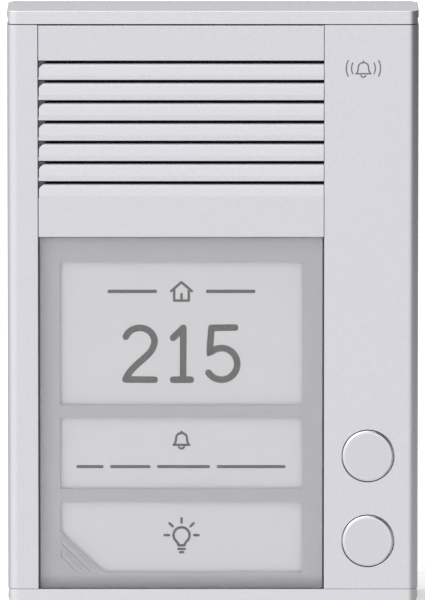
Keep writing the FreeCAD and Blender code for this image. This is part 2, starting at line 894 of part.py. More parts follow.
cut_y(louvre, throat - 0.2, panel_b - 0.4, [lambda s: sound_slots(s, SLOTS[0])])
row = cut_y(louvre, throat - 0.2, panel_b - 0.4, [lambda s: sound_slots(s, SLOTS[1])])
rows = louvre.newObject("PartDesign::LinearPattern", "sound_rows")
rows.Originals = [row]
rows.Direction = (role(louvre, "Z_Axis"), [""])
rows.Reversed = True
rows.Length = 5 * dim("slot_pitch").v
bind(rows, "Length", 5 * dim("slot_pitch"))
rows.Occurrences = 6
louvre.Tip = rows
doc.recompute()
cut_y(
    louvre,
    panel_b - 3.4,
    panel_b + 0.5,
    [(lambda s, p=p: ring(s, p[0], p[1], 1.25)) for p in PANEL_SCREWS],
)
node(louvre, "louvre_panel")

screws = []
for x, z in PANEL_SCREWS:
    screws.append(
        minus(
            join(
                rod("y", x, web_b, z, 2.6, 1.9),
                rod("y", x, panel_b - 3.2, z, 1.2, t + 3.4),
            ),
            rod("y", x, web_b + 0.8, z, 1.1, 1.5),
        )
    )
node(group(*screws), "louvre_panel_screws")

node(box(-59.6, 36.6, panel_b - 0.6, panel_b - 0.25, 40.4, 91.6), "acoustic_mesh")

# ---------------------------------------------------------------- loudspeaker

y0 = web_b
node(
    turned(
        "speaker_gasket",
        [(25.2, y0), (28.4, y0), (28.4, y0 + 0.8), (25.2, y0 + 0.8)],
        sx,
        sz,
    ),
    "speaker_gasket",
)
yf = y0 + 0.8
frame = turned(
    "speaker_frame",
    [
        (25.0, yf),
        (28.5, yf),
        (28.5, yf + 1.0),
        (26.4, yf + 1.0),
        (16.6, yf + 8.4),
        (16.6, yf + 9.6),
        (9.0, yf + 9.6),
        (9.0, yf + 8.8),
        (15.6, yf + 8.8),
        (15.6, yf + 8.0),
        (25.0, yf + 0.9),
    ],
    sx,
    sz,
)
# Six vent windows in the basket.
sk = sketch(frame, "XZ_Plane", -(yf + 2.4))
poly(sk, [(17.4, -2.6), (23.0, -4.2), (23.0, 4.2), (17.4, 2.6)])
doc.recompute()
pk = pocket(frame, sk, 5.6)
pat = frame.newObject("PartDesign::PolarPattern", "basket_vents")
pat.Originals = [pk]
pat.Axis = (role(frame, "Y_Axis"), [""])
pat.Angle = 360.0
pat.Occurrences = 6
frame.Tip = pat
doc.recompute()
node(frame, "speaker_frame")

cone = turned(
    "speaker_cone",
    [
        (0.0, yf + 1.6),
        (2.6, yf + 1.8),
        (4.9, yf + 2.9),
        (6.6, yf + 4.6),
        (21.3, yf + 0.7),
        (21.9, yf + 0.1),
        (24.9, yf + 0.1),
        (24.9, yf + 0.5),
        (22.0, yf + 0.5),
        (21.6, yf + 1.1),
        (7.2, yf + 5.1),
        (5.8, yf + 5.1),
        (4.4, yf + 3.5),
        (2.4, yf + 2.4),
        (0.0, yf + 2.2),
    ],
    sx,
    sz,
)
node(cone, "speaker_cone")
node(
    turned(
        "voice_coil",
        [(6.2, yf + 5.1), (6.9, yf + 5.1), (6.9, yf + 12.0), (6.2, yf + 12.0)],
        sx,
        sz,
    ),
    "voice_coil",
)
node(
    turned(
        "speaker_front_plate",
        [(7.3, yf + 9.6), (15.0, yf + 9.6), (15.0, yf + 11.4), (7.3, yf + 11.4)],
        sx,
        sz,
    ),
    "speaker_front_plate",
)
node(
    turned(
        "speaker_magnet",
        [(9.0, yf + 11.4), (16.0, yf + 11.4), (16.0, yf + 16.4), (9.0, yf + 16.4)],
        sx,
        sz,
    ),
    "speaker_magnet",
)
node(
    turned(
        "speaker_pole_piece",
        [(0.0, yf + 9.8), (5.8, yf + 9.8), (5.8, yf + 16.4), (14.6, yf + 16.4), (14.6, yf + 18.4), (0.0, yf + 18.4)],
        sx,
        sz,
    ),
    "speaker_pole_piece",
)
clamps, cscrews = [], []
for cx, cz2 in CLAMPS:
    foot = rod("y", cx, web_b, cz2, 3.4, 1.8)
    ear = rod("y", cx, web_b + 1.8, cz2, 3.4, 1.0)
    clamps.append(minus(join(minus(foot, rod("y", sx, web_b - 1.0, sz, 28.7, 5.0)), ear), rod("y", cx, web_b - 1.0, cz2, 1.3, 6.0)))
    cscrews.append(
        minus(
            join(rod("y", cx, web_b + 2.8, cz2, 2.3, 1.5), rod("y", cx, web_f + 0.6, cz2, 1.2, 5.0)),
            rod("y", cx, web_b + 3.5, cz2, 1.0, 1.5),
        )
    )
node(box(sx - 5.5, sx + 5.5, yf + 1.0, yf + 6.4, 38.2, 39.2), "speaker_tag_board")
node(group(*clamps), "speaker_clamps")
node(group(*cscrews), "speaker_clamp_screws")

# ---------------------------------------------------------------- name window and labels

wf = front + dim("win_recess")
wt = dim("win_t")
wb = wf + wt
wx0, wx1 = rl + dim("win_gap"), rr - dim("win_gap")
wz0, wz1 = low_in + 0.15, dim("split_z") - 0.25

window = new_body("name_window")
sk = sketch(window, "XZ_Plane", -wb)
rect(sk, wx0, wx1, wz0, wz1)
doc.recompute()
pad(window, sk, wt)
fillet(window, 0.2, lambda p, r: near(p.y, wf.v) and near(r.y, wf.v), kind="Chamfer")
# Two raised grip ribs at the lower left, for the thumb.
RIBS = [
    [(-54.1, -83.7), (-54.1, -85.7), (-43.8, -95.8), (-41.2, -95.8)],
    [(-54.3, -88.1), (-54.3, -90.1), (-48.8, -95.8), (-46.4, -95.8)],
]
for pts in RIBS:
    sk = sketch(window, "XZ_Plane", -wf)
    poly(sk, pts)
    doc.recompute()
    pad(window, sk, 0.35)
rib_front = wf - 0.35


def rib_low_edges(p, r):
    """The front edges along the lower left of both ribs."""
    for a, b in [(pts[1], pts[2]) for pts in RIBS] + [(RIBS[1][0], RIBS[1][1])]:
        for u, w in ((p, r), (r, p)):
            if near(u.y, rib_front.v) and near(w.y, rib_front.v):
                if near(u.x, a[0]) and near(u.z, a[1]) and near(w.x, b[0]) and near(w.z, b[1]):
                    return True
    return False


fillet(window, 0.28, rib_low_edges, kind="Chamfer")
node(window, "name_window")

mask_b = wb + dim("mask_t")
AP1 = (-54.6, 31.9, -35.87, 15.83)
AP2 = (-54.6, 31.9, -66.0, -40.25)
AP3 = (-54.5, 31.9, -96.2, -70.57)
mask = new_body("mask_frame")
sk = sketch(mask, "XZ_Plane", -mask_b)
rect(sk, wx0, wx1, wz0, wz1)
rect(sk, AP1[0], AP1[1], AP1[2], AP1[3])
rect(sk, AP2[0], AP2[1], AP2[2], AP2[3])
poly(
    sk,
    [
        (AP3[0], AP3[3]),
        (AP3[0], -81.6),
        (-38.85, AP3[2]),
        (AP3[1], AP3[2]),
        (AP3[1], AP3[3]),
    ],
)
doc.recompute()
# A 0.04 mm film of clear adhesive lies between the window and the mask.
pad(mask, sk, dim("mask_t") - 0.04)
corners = [(x, z) for ap in (AP1, AP2) for x in ap[:2] for z in ap[2:]] + [
    (AP3[0], AP3[3]),
    (AP3[1], AP3[2]),
    (AP3[1], AP3[3]),
]
fillet(
    mask,
    0.9,
    lambda p, r: near(p.x, r.x) and near(p.z, r.z) and any(near(p.x, x) and near(p.z, z) for x, z in corners),
)
# Four legs press into the web.
sk = sketch(mask, "XZ_Plane", -mask_b)
for x, z in LEGS:
    ring(sk, x, z, 1.35)
doc.recompute()
pad(mask, sk, web_b - mask_b + 1.2, reverse=True)
node(mask, "mask_frame")

lab0 = mask_b + 0.8
for label, z0, z1 in (
    ("house_number_label", -37.4, 18.3),
    ("bell_label", -67.9, -38.0),
    ("light_label", -97.85, -68.5),
):
    node(box(-56.6, 34.2, lab0, lab0 + 0.2, z0, z1), label)
guide = soften(
    box(-57.6, 35.2, lab0 + 0.2, web_f, -97.85, 18.9),
    1.0,
    lambda p, r: near(p.x, r.x) and near(p.z, r.z),
)
node(guide, "light_guide")

# ---------------------------------------------------------------- backlight board

led_board = minus(
    box(-57.9, 35.5, web_b, web_b + 1.2, -97.2, 19.0),
    *[rod("y", x, web_b - 1.0, z, 0.9, 4.0) for x, z in LED_SCREWS]
)
node(led_board, "backlight_board")
leds = []
for x in (-44.0, -22.7, -1.4, 19.9):
    for z in (-84.0, -52.5, -22.0, 4.0):
        leds.append(box(x - 1.6, x + 1.6, web_b - 1.0, web_b, z - 1.4, z + 1.4))
node(group(*leds), "backlight_leds")
bs = []
for x, z in LED_SCREWS:
    bs.append(join(rod("y", x, web_b + 1.2, z, 1.6, 1.0), rod("y", x, web_f + 0.6, z, 0.8, 3.0)))
node(group(*bs), "backlight_screws")

# ---------------------------------------------------------------- main circuit board

pcb_f = -18.6
pcb_b = pcb_f + dim("pcb_t")
so, bscr = [], []
for x, z in STANDOFFS:
    so.append(minus(rod("y", x, web_b, z, 2.2, pcb_f - web_b), rod("y", x, pcb_f - 6.0, z, 1.25, 7.0)))
    bscr.append(
        minus(
            join(rod("y", x, pcb_b, z, 2.6, 1.9), rod("y", x, pcb_f - 5.0, z, 1.2, dim("pcb_t") + 5.2)),
            rod("y", x, pcb_b + 0.8, z, 1.1, 1.6),
        )
    )
node(group(*so), "board_standoffs")
node(group(*bscr), "board_screws")
board = minus(
    box(-63.4, 41.0, pcb_f, pcb_b, -88.5, 12.5),
    *[rod("y", x, pcb_f - 1.0, z, 1.6, 4.0) for x, z in STANDOFFS]
)
node(
    soften(board, 1.5, lambda p, r: near(p.x, r.x) and near(p.z, r.z) and (near(p.x, -63.4) or near(p.x, 41.0))),
    "main_circuit_board",
)

# Six-way screw terminal for the line and the door opener, its mouths facing the cable entry.
poles = 6
tx0, tz0, tz1 = -22.0, -86.5, -75.5
pitch = 5.0
tb = box(tx0, tx0 + poles * pitch, pcb_b, pcb_b + 8.6, tz0, tz1)
tools, tscr = [], []
for k in range(poles):
    xc = tx0 + pitch * (k + 0.5)
    tools.append(box(xc - 1.7, xc + 1.7, pcb_b + 1.6, pcb_b + 5.4, tz1 - 6.0, tz1 + 1.0))
    tools.append(rod("y", xc, pcb_b + 5.9, (tz0 + tz1) / 2 - 0.6, 1.9, 4.0))
    tscr.append(
        minus(
            rod("y", xc, pcb_b + 5.95, (tz0 + tz1) / 2 - 0.6, 1.75, 1.9),
            box(xc - 1.9, xc + 1.9, pcb_b + 7.0, pcb_b + 9.0, (tz0 + tz1) / 2 - 0.9, (tz0 + tz1) / 2 - 0.3),
        )
    )
node(minus(tb, *tools), "terminal_block")
node(group(*tscr), "terminal_screws")

node(
    soften(
        box(12.0, 31.0, pcb_b, pcb_b + 9.5, -40.0, -24.0),
        0.6,
        lambda p, r: near(p.y, (pcb_b + 9.5).v) and near(r.y, (pcb_b + 9.5).v) or (near(p.x, r.x) and near(p.z, r.z)),
    ),
    "opener_relay",
)
core = box(-54.0, -36.0, pcb_b + 1.0, pcb_b + 9.0, -30.0, -12.0)
bob = box(-51.0, -39.0, pcb_b, pcb_b + 10.0, -27.0, -15.0)
node(join(core, bob), "line_transformer")
caps = []
for x, z, r, h in ((-24.0, -20.0, 4.0, 9.0), (-12.0, -20.0, 4.0, 9.0), (0.0, -22.0, 2.5, 6.5), (20.0, -8.0, 2.5, 6.5)):
    caps.append(rod("y", x, pcb_b, z, r, h))
node(group(*caps), "capacitors")
node(
    group(
        box(-8.0, 4.0, pcb_b, pcb_b + 1.6, -8.0, 4.0),
        box(-30.0, -22.0, pcb_b, pcb_b + 1.5, -6.0, 0.0),
        box(28.0, 36.0, pcb_b, pcb_b + 1.5, -4.0, 2.0),
    ),
    "integrated_circuits",
)
node(box(-8.0, 8.0, web_b + 1.2, pcb_f, -50.0, -46.0), "board_link_header")
node(
    group(
        box(-33.0, -23.0, pcb_b, pcb_b + 5.6, 5.0, 10.8),
        box(30.5, 38.5, pcb_b, pcb_b + 5.6, -70.0, -60.0),
        box(14.0, 22.0, pcb_b, pcb_b + 5.6, -86.0, -80.2),
        box(49.0, 53.0, -10.4, -6.6, -70.5, -64.0),
    ),
    "board_connectors",
)

# ---------------------------------------------------------------- call buttons

# One moulded carrier guides both caps: a base plate behind the strip with two sleeves.
cf = strip_b                       # the plate's front lies on the strip's rear face
sleeve_end = -20.0
PILLARS = [(47.4, -40.2), (63.0, -40.2), (47.4, -97.2), (63.0, -97.2)]
PILLAR_SCREWS = PILLARS
carrier = new_body("button_carrier")
sk = sketch(carrier, "XZ_Plane", -(cf + 1.5))
rect(sk, 42.6, 67.8, -99.8, -37.6)
ring(sk, bx_, bzu, 10.8)
ring(sk, bx_, bzl, 10.8)
doc.recompute()
pad(carrier, sk, 1.5)
for bz in (bzu, bzl):
    sk = sketch(carrier, "XZ_Plane", -(cf + 1.4))
    ring(sk, bx_, bz, 12.3)
    ring(sk, bx_, bz, 10.8)
    doc.recompute()
    pad(carrier, sk, sleeve_end - (cf + 1.4), reverse=True)
    sk = sketch(carrier, "XZ_Plane", -(q(sleeve_end) - 1.5))
    ring(sk, bx_, bz, 12.0)
    ring(sk, bx_, bz, 3.08)
    doc.recompute()
    pad(carrier, sk, 1.5, reverse=True)
btn_pcb_f = -12.0
for x, z in PILLARS:
    sk = sketch(carrier, "XZ_Plane", -(cf + 1.4))
    ring(sk, x, z, 1.9)
    doc.recompute()
    pad(carrier, sk, btn_pcb_f - (cf + 1.4), reverse=True)
cut_y(carrier, -17.0, -11.5, [(lambda s, p=p: ring(s, p[0], p[1], 0.95)) for p in PILLAR_SCREWS])
STUDS = [(46.6, -68.7), (63.8, -68.7)]
cut_y(carrier, cf - 0.5, cf + 2.0, [(lambda s, p=p: ring(s, p[0], p[1], 1.65)) for p in STUDS])
node(carrier, "button_carrier")
node(group(*[rod("y", x, cf + 0.02, z, 1.5, 5.0) for x, z in STUDS]), "carrier_studs")
node(
    group(*[minus(prism6(x, cf + 1.5, z, 5.5, 2.4), rod("y", x, cf + 1.0, z, 1.52, 4.0)) for x, z in STUDS]),
    "carrier_nuts",
)

btn_board = minus(
    box(44.6, 65.5, btn_pcb_f, btn_pcb_f + dim("pcb_t"), -99.6, -37.8),
    *[rod("y", x, btn_pcb_f - 1.0, z, 1.15, 4.0) for x, z in PILLAR_SCREWS]
)
node(btn_board, "button_circuit_board")
node(
    group(
        *[
            join(
                rod("y", x, btn_pcb_f + 1.6, z, 1.7, 1.2),
                rod("y", x, btn_pcb_f - 4.0, z, 0.9, 5.7),
            )
            for x, z in PILLAR_SCREWS
        ]
    ),
    "button_board_screws",
)

face = front - dim("btn_proud")
cap_r = dim("btn_cap")
edge_r = 1.15
mid = edge_r * (1 - math.sqrt(0.5))
tip_y = -17.3


def button(label, bz):
    b = turned(
        label,
        [
            (0.0, face),
            (cap_r - edge_r, face),
            (cap_r, face + edge_r),
            (cap_r, strip_b + 0.1),
            (10.5, strip_b + 0.1),
            (10.5, strip_b + 1.3),
            (7.4, strip_b + 1.3),
            (7.4, strip_b - 0.5),
            (3.0, strip_b - 0.5),
            (3.0, tip_y - 0.7),
            (1.6, tip_y - 0.7),
            (1.6, tip_y),
            (0.0, tip_y),
        ],
        bx_,
        bz,
        arcs={1: ((cap_r - mid).v, (face + mid).v)},
    )
    return node(b, label)


button("upper_button_cap", bzu)
button("lower_button_cap", bzl)


def spring(label, bz, r, wire, y0, y1, turns):
    """A compression spring along Y with closed end coils, seated between y0 and y1."""
    length = y1 - y0 - 2 * wire
    close = 2.3 * wire
    steps = 14
    total = turns + 2
    pts = []
    for i in range(total * steps + 1):
        a = i / steps
        if a <= 1:
            h = close * a
        elif a >= total - 1:
            h = length - close * (total - a)
        else:
            h = close + (length - 2 * close) * (a - 1) / turns
        pts.append(V(r * math.cos(2 * math.pi * a), h, r * math.sin(2 * math.pi * a)))
    curve = Part.BSplineCurve()
    curve.interpolate(pts)
    path = Part.Wire(curve.toShape())
    t0 = curve.tangent(curve.FirstParameter)[0]
    prof = Part.Wire(Part.Circle(pts[0], t0, wire).toShape())
    coil = path.makePipeShell([prof], True, False)
    solid = coil if coil.ShapeType == "Solid" else Part.Solid(coil)
    want = math.pi * wire * wire * path.Length
    if abs(solid.Volume - want) > 0.02 * want:
        raise RuntimeError("%s has volume %.2f for %.2f" % (label, solid.Volume, want))
    o = doc.addObject("Part::Feature", uid(label))
    o.Shape = solid
    o.Placement = FreeCAD.Placement(V(bx_.v, y0 + wire, val(bz)), FreeCAD.Rotation())
    return node(o, label)


spring("upper_return_spring", bzu, 5.2, 0.35, (strip_b - 0.5).v + 0.02, -21.52, 4)
spring("lower_return_spring", bzl, 5.2, 0.35, (strip_b - 0.5).v + 0.02, -21.52, 4)

bodies = []
for bz in (bzu, bzl):
    can = box(bx_ - 5.0, bx_ + 5.0, -16.0, btn_pcb_f, bz - 5.0, bz + 5.0)
    can = soften(can, 0.5, lambda p, r: near(p.x, r.x) and near(p.z, r.z))
    bodies.append(minus(can, rod("y", bx_, -17.0, bz, 1.8, 4.8)))
node(group(*bodies), "switch_bodies")
for label, bz in (("upper_switch_plunger", bzu), ("lower_switch_plunger", bzl)):
    node(rod("y", bx_, -17.15, bz, 1.7, 3.4), label)

# ---------------------------------------------------------------- microphone

mx, my = -28.0, -14.0
boot = minus(
    rod("z", mx, my, low_in + 0.02, 6.6, 8.0),
    rod("z", mx, my, low_in - 1.0, 1.0, 4.0),
    rod("z", mx, my, low_in + 1.8, 4.85, 8.0),
)
node(boot, "microphone_boot")
node(rod("z", mx, my, low_in + 1.85, 4.8, 4.6), "microphone_capsule")

# ---------------------------------------------------------------- internal leads


def lead(points, r):
    """A wire of straight runs joined by tangent arcs."""
    p = [V(*c) for c in points]
    edges = []
    at = p[0]
    for i in range(1, len(p) - 1):
        a, b, c = p[i - 1], p[i], p[i + 1]
        u, w = (a - b).normalize(), (c - b).normalize()
        turn = math.pi - u.getAngle(w)
        run = min((a - b).Length, (c - b).Length)
        cut = 0.45 * run
        s, e = b + u * cut, b + w * cut
        radius = cut / math.tan(turn / 2)
        half = (u + w).normalize()
        centre = b + half * (radius / math.cos(turn / 2))
        m = centre - half * radius
        edges.append(Part.LineSegment(at, s).toShape())
        edges.append(Part.Arc(s, m, e).toShape())
        at = e
    edges.append(Part.LineSegment(at, p[-1]).toShape())
    path = Part.Wire(edges)
    d0 = (p[1] - p[0]).normalize()
    prof = Part.Wire(Part.Circle(p[0], d0, r).toShape())
    tube = path.makePipeShell([prof], True, False)
    solid = tube if tube.ShapeType == "Solid" else Part.Solid(tube)
    want = math.pi * r * r * path.Length
    if abs(solid.Volume - want) > 0.02 * want:
        raise RuntimeError("a lead's volume is off: %.2f for %.2f" % (solid.Volume, want))
    return solid


pb = val(pcb_b)
node(
    shaped(
        "leads",
        Part.Compound(
            [
                lead(
                    [
                        (-29.4 + dx, pb + 3.2, 10.9),
                        (-29.4 + dx, pb + 3.2, 17.0),
                        (-24.0 + dx, -17.0, 24.5),
                        (-14.2 + dx * 1.9, -20.6, 31.0),
                        (-14.2 + dx * 1.9, -20.6, 38.1),
                    ],
                    0.6,
                )
                for dx in (0.0, 2.6)
            ]
        ),
    ),
    "speaker_leads",
)
node(
    shaped(
        "leads",
        Part.Compound(
            [
                lead(
                    [
                        (-28.9 + 1.8 * k, -14.0, (low_in + 6.45).v),
                        (-28.9 + 1.8 * k, -14.0, -90.4 + 1.3 * k),
                        (18.9 - 1.8 * k, -14.0, -90.4 + 1.3 * k),
                        (18.9 - 1.8 * k, -14.0, -86.05),
                    ],
                    0.45,
                )
                for k in (0, 1)
            ]
        ),
    ),
    "microphone_leads",
)
node(
    shaped(
        "leads",
        Part.Compound(
            [
                lead(
                    [
                        (38.6, pb + 2.0 + dy, -66.0),
                        (41.0, pb + 2.0 + dy, -66.0),
                        (42.6, -11.8 + dy * 0.6, -66.4),
                        (42.8, -9.0 + dy * 0.5, -66.9),
                        (45.0, -8.0 + dy * 0.6, -67.2),
                        (48.85, -8.6 + dy * 0.7, -67.2),
                    ],
                    0.5,
                )
                for dy in (0.0, 1.8)
            ]
        ),
    ),
    "button_leads",
)

# ---------------------------------------------------------------- checks and export

doc.recompute()
bad = [o.Name for o in doc.Objects if "Invalid" in o.State or "Error" in o.State]
if bad:
    raise RuntimeError("objects not computed: %s" % bad)
labels = [n for n, _ in NODES]
if len(set(labels)) != len(labels):
    raise RuntimeError("two nodes share a name")
for label, obj in NODES:
    s = obj.Shape
    if s.isNull() or not s.isValid() or not s.Solids or s.Volume <= 0:
        raise RuntimeError("%s has no good solid" % label)
os.makedirs("parts", exist_ok=True)
for label, obj in NODES:
    obj.Shape.exportStep("parts/%s.step" % label)
    b = obj.Shape.BoundBox
    print(
        "%-24s solids %2d  vol %9.1f  x %6.1f..%6.1f  y %6.1f..%6.1f  z %7.1f..%7.1f"
        % (label, len(obj.Shape.Solids), obj.Shape.Volume, b.XMin, b.XMax, b.YMin, b.YMax, b.ZMin, b.ZMax)
    )
print("nodes", len(NODES))
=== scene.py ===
import json
import math

import bmesh
import bpy
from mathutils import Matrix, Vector


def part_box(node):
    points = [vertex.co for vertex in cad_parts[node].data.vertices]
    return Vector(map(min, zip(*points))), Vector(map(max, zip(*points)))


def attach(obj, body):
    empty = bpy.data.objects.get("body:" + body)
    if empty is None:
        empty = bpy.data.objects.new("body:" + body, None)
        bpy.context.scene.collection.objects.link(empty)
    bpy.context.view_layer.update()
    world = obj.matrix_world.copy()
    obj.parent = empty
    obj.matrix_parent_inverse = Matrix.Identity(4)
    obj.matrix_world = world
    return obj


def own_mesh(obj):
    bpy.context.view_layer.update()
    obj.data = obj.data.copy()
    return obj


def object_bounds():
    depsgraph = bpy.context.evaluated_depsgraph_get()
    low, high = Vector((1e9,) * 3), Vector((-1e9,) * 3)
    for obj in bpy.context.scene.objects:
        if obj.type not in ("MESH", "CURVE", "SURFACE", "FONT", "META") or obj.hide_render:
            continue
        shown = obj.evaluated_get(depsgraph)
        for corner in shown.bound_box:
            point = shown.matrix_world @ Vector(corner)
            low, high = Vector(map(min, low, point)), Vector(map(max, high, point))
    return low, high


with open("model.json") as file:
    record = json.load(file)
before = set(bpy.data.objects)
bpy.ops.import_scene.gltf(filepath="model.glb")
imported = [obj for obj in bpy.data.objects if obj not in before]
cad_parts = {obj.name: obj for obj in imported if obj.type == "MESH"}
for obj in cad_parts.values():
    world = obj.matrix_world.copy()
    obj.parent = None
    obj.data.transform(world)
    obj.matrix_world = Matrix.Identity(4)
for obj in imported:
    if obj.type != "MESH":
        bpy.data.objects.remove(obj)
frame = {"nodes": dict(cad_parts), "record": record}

cad_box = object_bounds()
MM = 0.001
nodes = frame["nodes"]
slots = {s["node"]: s["material_slot"] for s in frame["record"]["subparts"]}


# ------------------------------------------------------------------ node materials


class Mat:
    """A material with a Principled shader and short calls for its procedural inputs."""

    def __init__(self, name, rough=0.5, metal=0.0, **sockets):
        self.m = bpy.data.materials.new(name)
        self.m.use_nodes = True
        self.t = self.m.node_tree
        self.p = self.t.nodes["Principled BSDF"]
        self.p.inputs["Roughness"].default_value = rough
        self.p.inputs["Metallic"].default_value = metal
        for k, v in sockets.items():
            self.p.inputs[k.replace("_", " ")].default_value = v
        self.where = self.t.nodes.new("ShaderNodeTexCoord").outputs["Object"]

    def new(self, kind, **inputs):
        n = self.t.nodes.new(kind)
        for k, v in inputs.items():
            k = k.replace("_", " ")
            if isinstance(v, bpy.types.NodeSocket):
                self.t.links.new(v, n.inputs[k])
            else:
                n.inputs[k].default_value = v
        return n

    def link(self, a, b):
        self.t.links.new(a, b)

    def stretched(self, sx, sy, sz):
        n = self.new("ShaderNodeMapping", Vector=self.where, Scale=(sx, sy, sz))
        return n.outputs[0]

    def noise(self, scale, detail=3.0, rough=0.55, vector=None, distort=0.0):
        n = self.new(
            "ShaderNodeTexNoise",
            Vector=vector or self.where,
            Scale=scale,
            Detail=detail,
            Roughness=rough,
            Distortion=distort,
        )
        return n.outputs["Fac"]

    def cells(self, scale, vector=None, out="Distance", feature="F1", random=1.0):
        n = self.new("ShaderNodeTexVoronoi", Vector=vector or self.where, Scale=scale, Randomness=random)
        n.feature = feature
        return n.outputs[out]

    def ramp(self, fac, stops):
        n = self.t.nodes.new("ShaderNodeValToRGB")
        self.t.links.new(fac, n.inputs["Fac"])
        e = n.color_ramp.elements
        while len(e) < len(stops):
            e.new(0.5)
        for el, (pos, c) in zip(e, stops):
            el.position = pos
            el.color = (c[0], c[1], c[2], 1.0) if not isinstance(c, float) else (c, c, c, 1.0)
        return n.outputs["Color"]

    def span(self, fac, a, b, c, d, smooth=False):
        n = self.t.nodes.new("ShaderNodeMapRange")
        n.interpolation_type = "SMOOTHSTEP" if smooth else "LINEAR"
        self.t.links.new(fac, n.inputs["Value"])
        for k, v in (("From Min", a), ("From Max", b), ("To Min", c), ("To Max", d)):
            n.inputs[k].default_value = v
        return n.outputs["Result"]

    def math(self, op, a, b=0.0):
        n = self.t.nodes.new("ShaderNodeMath")
        n.operation = op
        for i, v in enumerate((a, b)):
            if isinstance(v, bpy.types.NodeSocket):
                self.t.links.new(v, n.inputs[i])
            else:
                n.inputs[i].default_value = v
        return n.outputs[0]

    def mix(self, fac, a, b, kind="MIX"):
        n = self.t.nodes.new("ShaderNodeMix")
        n.data_type = "RGBA"
        n.blend_type = kind
        for i, v in ((0, fac), (6, a), (7, b)):
            if isinstance(v, bpy.types.NodeSocket):
                self.t.links.new(v, n.inputs[i])
            elif i == 0:
                n.inputs[0].default_value = v
            else:
                n.inputs[i].default_value = (v[0], v[1], v[2], 1.0)
        return n.outputs[2]

    def colour(self, sock):
        self.link(sock, self.p.inputs["Base Color"])

    def roughness(self, sock):
        self.link(sock, self.p.inputs["Roughness"])

    def bump(self, height, strength, distance):
        n = self.new("ShaderNodeBump", Strength=strength, Distance=distance, Height=height)
        self.link(n.outputs[0], self.p.inputs["Normal"])


def shade(c, k):
    return (c[0] * k, c[1] * k, c[2] * k)


def anodised(name, tone, rough, across=(1.0, 1.0, 1.0), grain=2600.0, metal=1.0, slot_shade_depth=None, recess_shade=False):
    """Matt etched and anodised aluminium: a fine, slightly drawn grain and a very faint cloudiness, with optional
    painted shade in the louvre slots and on the walls of the sunken centre.
    """
    m = Mat(name, rough, metal)
    vec = m.stretched(*across)
    fine = m.noise(grain, 2.0, 0.6, vec)
    cloud = m.noise(28.0, 2.0, 0.5)
    c = m.ramp(fine, [(0.30, shade(tone, 0.955)), (0.70, shade(tone, 1.03))])
    c = m.mix(m.span(cloud, 0.3, 0.7, 0.0, 0.35), c, shade(tone, 0.975))
    m.colour(c)
    m.roughness(m.span(m.noise(grain * 0.6, 2.0, 0.5, vec), 0.25, 0.75, rough - 0.04, rough + 0.05))
    if slot_shade_depth:
        # Painted shade: the slot throats are coloured dark, more so towards the back, where shade falls.
        sep = m.t.nodes.new("ShaderNodeSeparateXYZ")
        m.link(m.where, sep.inputs[0])
        slot_shade = m.math("POWER", m.span(sep.outputs["Y"], slot_shade_depth[0], slot_shade_depth[1], 0.0, 1.0), 0.5)
        c = m.mix(slot_shade, c, (0.125, 0.122, 0.128))
        m.colour(c)
    if recess_shade:
        # Painted shade: the walls of the sunken centre are coloured dark below the front strips, where shade falls.
        sep = m.t.nodes.new("ShaderNodeSeparateXYZ")
        m.link(m.where, sep.inputs[0])
        low = m.span(sep.outputs["Y"], -0.0336, -0.0328, 0.0, 1.0)
        between = m.math("MULTIPLY", m.math("GREATER_THAN", sep.outputs["X"], -0.0680), m.math("LESS_THAN", sep.outputs["X"], 0.0405))
        m.colour(m.mix(m.math("MULTIPLY", low, between), c, (0.20, 0.20, 0.21)))
    m.bump(fine, 0.10, 0.00006)
    return m.m


def moulded(name, tone, rough, grain=1800.0, depth=0.00004, vary=0.12, **kw):
    """Moulded plastic or rubber with a fine spark-eroded texture."""
    m = Mat(name, rough, 0.0, **kw)
    g = m.noise(grain, 4.0, 0.6)
    m.colour(m.ramp(m.noise(60.0, 3.0), [(0.3, shade(tone, 1 - vary)), (0.7, shade(tone, 1 + vary))]))
    m.roughness(m.span(g, 0.3, 0.7, rough - 0.06, rough + 0.08))
    m.bump(g, 0.25, depth)
    return m.m


def steel(name, tone, rough, stretch=(1.0, 1.0, 1.0), grain=900.0):
    m = Mat(name, rough, 1.0)
    vec = m.stretched(*stretch)
    g = m.noise(grain, 3.0, 0.6, vec)
    m.colour(m.ramp(g, [(0.3, shade(tone, 0.88)), (0.7, shade(tone, 1.06))]))
    m.roughness(m.span(g, 0.3, 0.7, rough - 0.06, rough + 0.08))
    m.bump(g, 0.12, 0.00003)
    return m.m


def zinc(name):
    """Zinc-plated sheet: fine crystalline patches and rolling lines."""
    m = Mat(name, 0.34, 1.0)
    patch = m.cells(160.0, out="Color")
    sep = m.t.nodes.new("ShaderNodeSeparateColor")
    m.link(patch, sep.inputs[0])
    c = m.ramp(sep.outputs[0], [(0.0, (0.47, 0.48, 0.50)), (1.0, (0.63, 0.64, 0.66))])
    lines = m.noise(420.0, 3.0, 0.6, m.stretched(1.0, 1.0, 0.03))
    m.colour(m.mix(m.span(lines, 0.35, 0.65, 0.0, 0.25), c, (0.40, 0.41, 0.43)))
    m.roughness(m.span(sep.outputs[1], 0.0, 1.0, 0.26, 0.44))
    m.bump(lines, 0.08, 0.00003)
    return m.m


def circuit(name, tone):
    """Green solder mask over copper tracks."""
    m = Mat(name, 0.34, 0.0, Coat_Weight=0.3)
    tracks = m.noise(240.0, 0.0, 0.5, m.stretched(1.0, 0.1, 0.08))
    c = m.mix(m.span(tracks, 0.47, 0.53, 0.0, 1.0, True), shade(tone, 0.75), shade(tone, 1.7))
    m.colour(c)
    m.bump(m.span(tracks, 0.47, 0.53, 0.0, 1.0, True), 0.3, 0.00004)
    return m.m


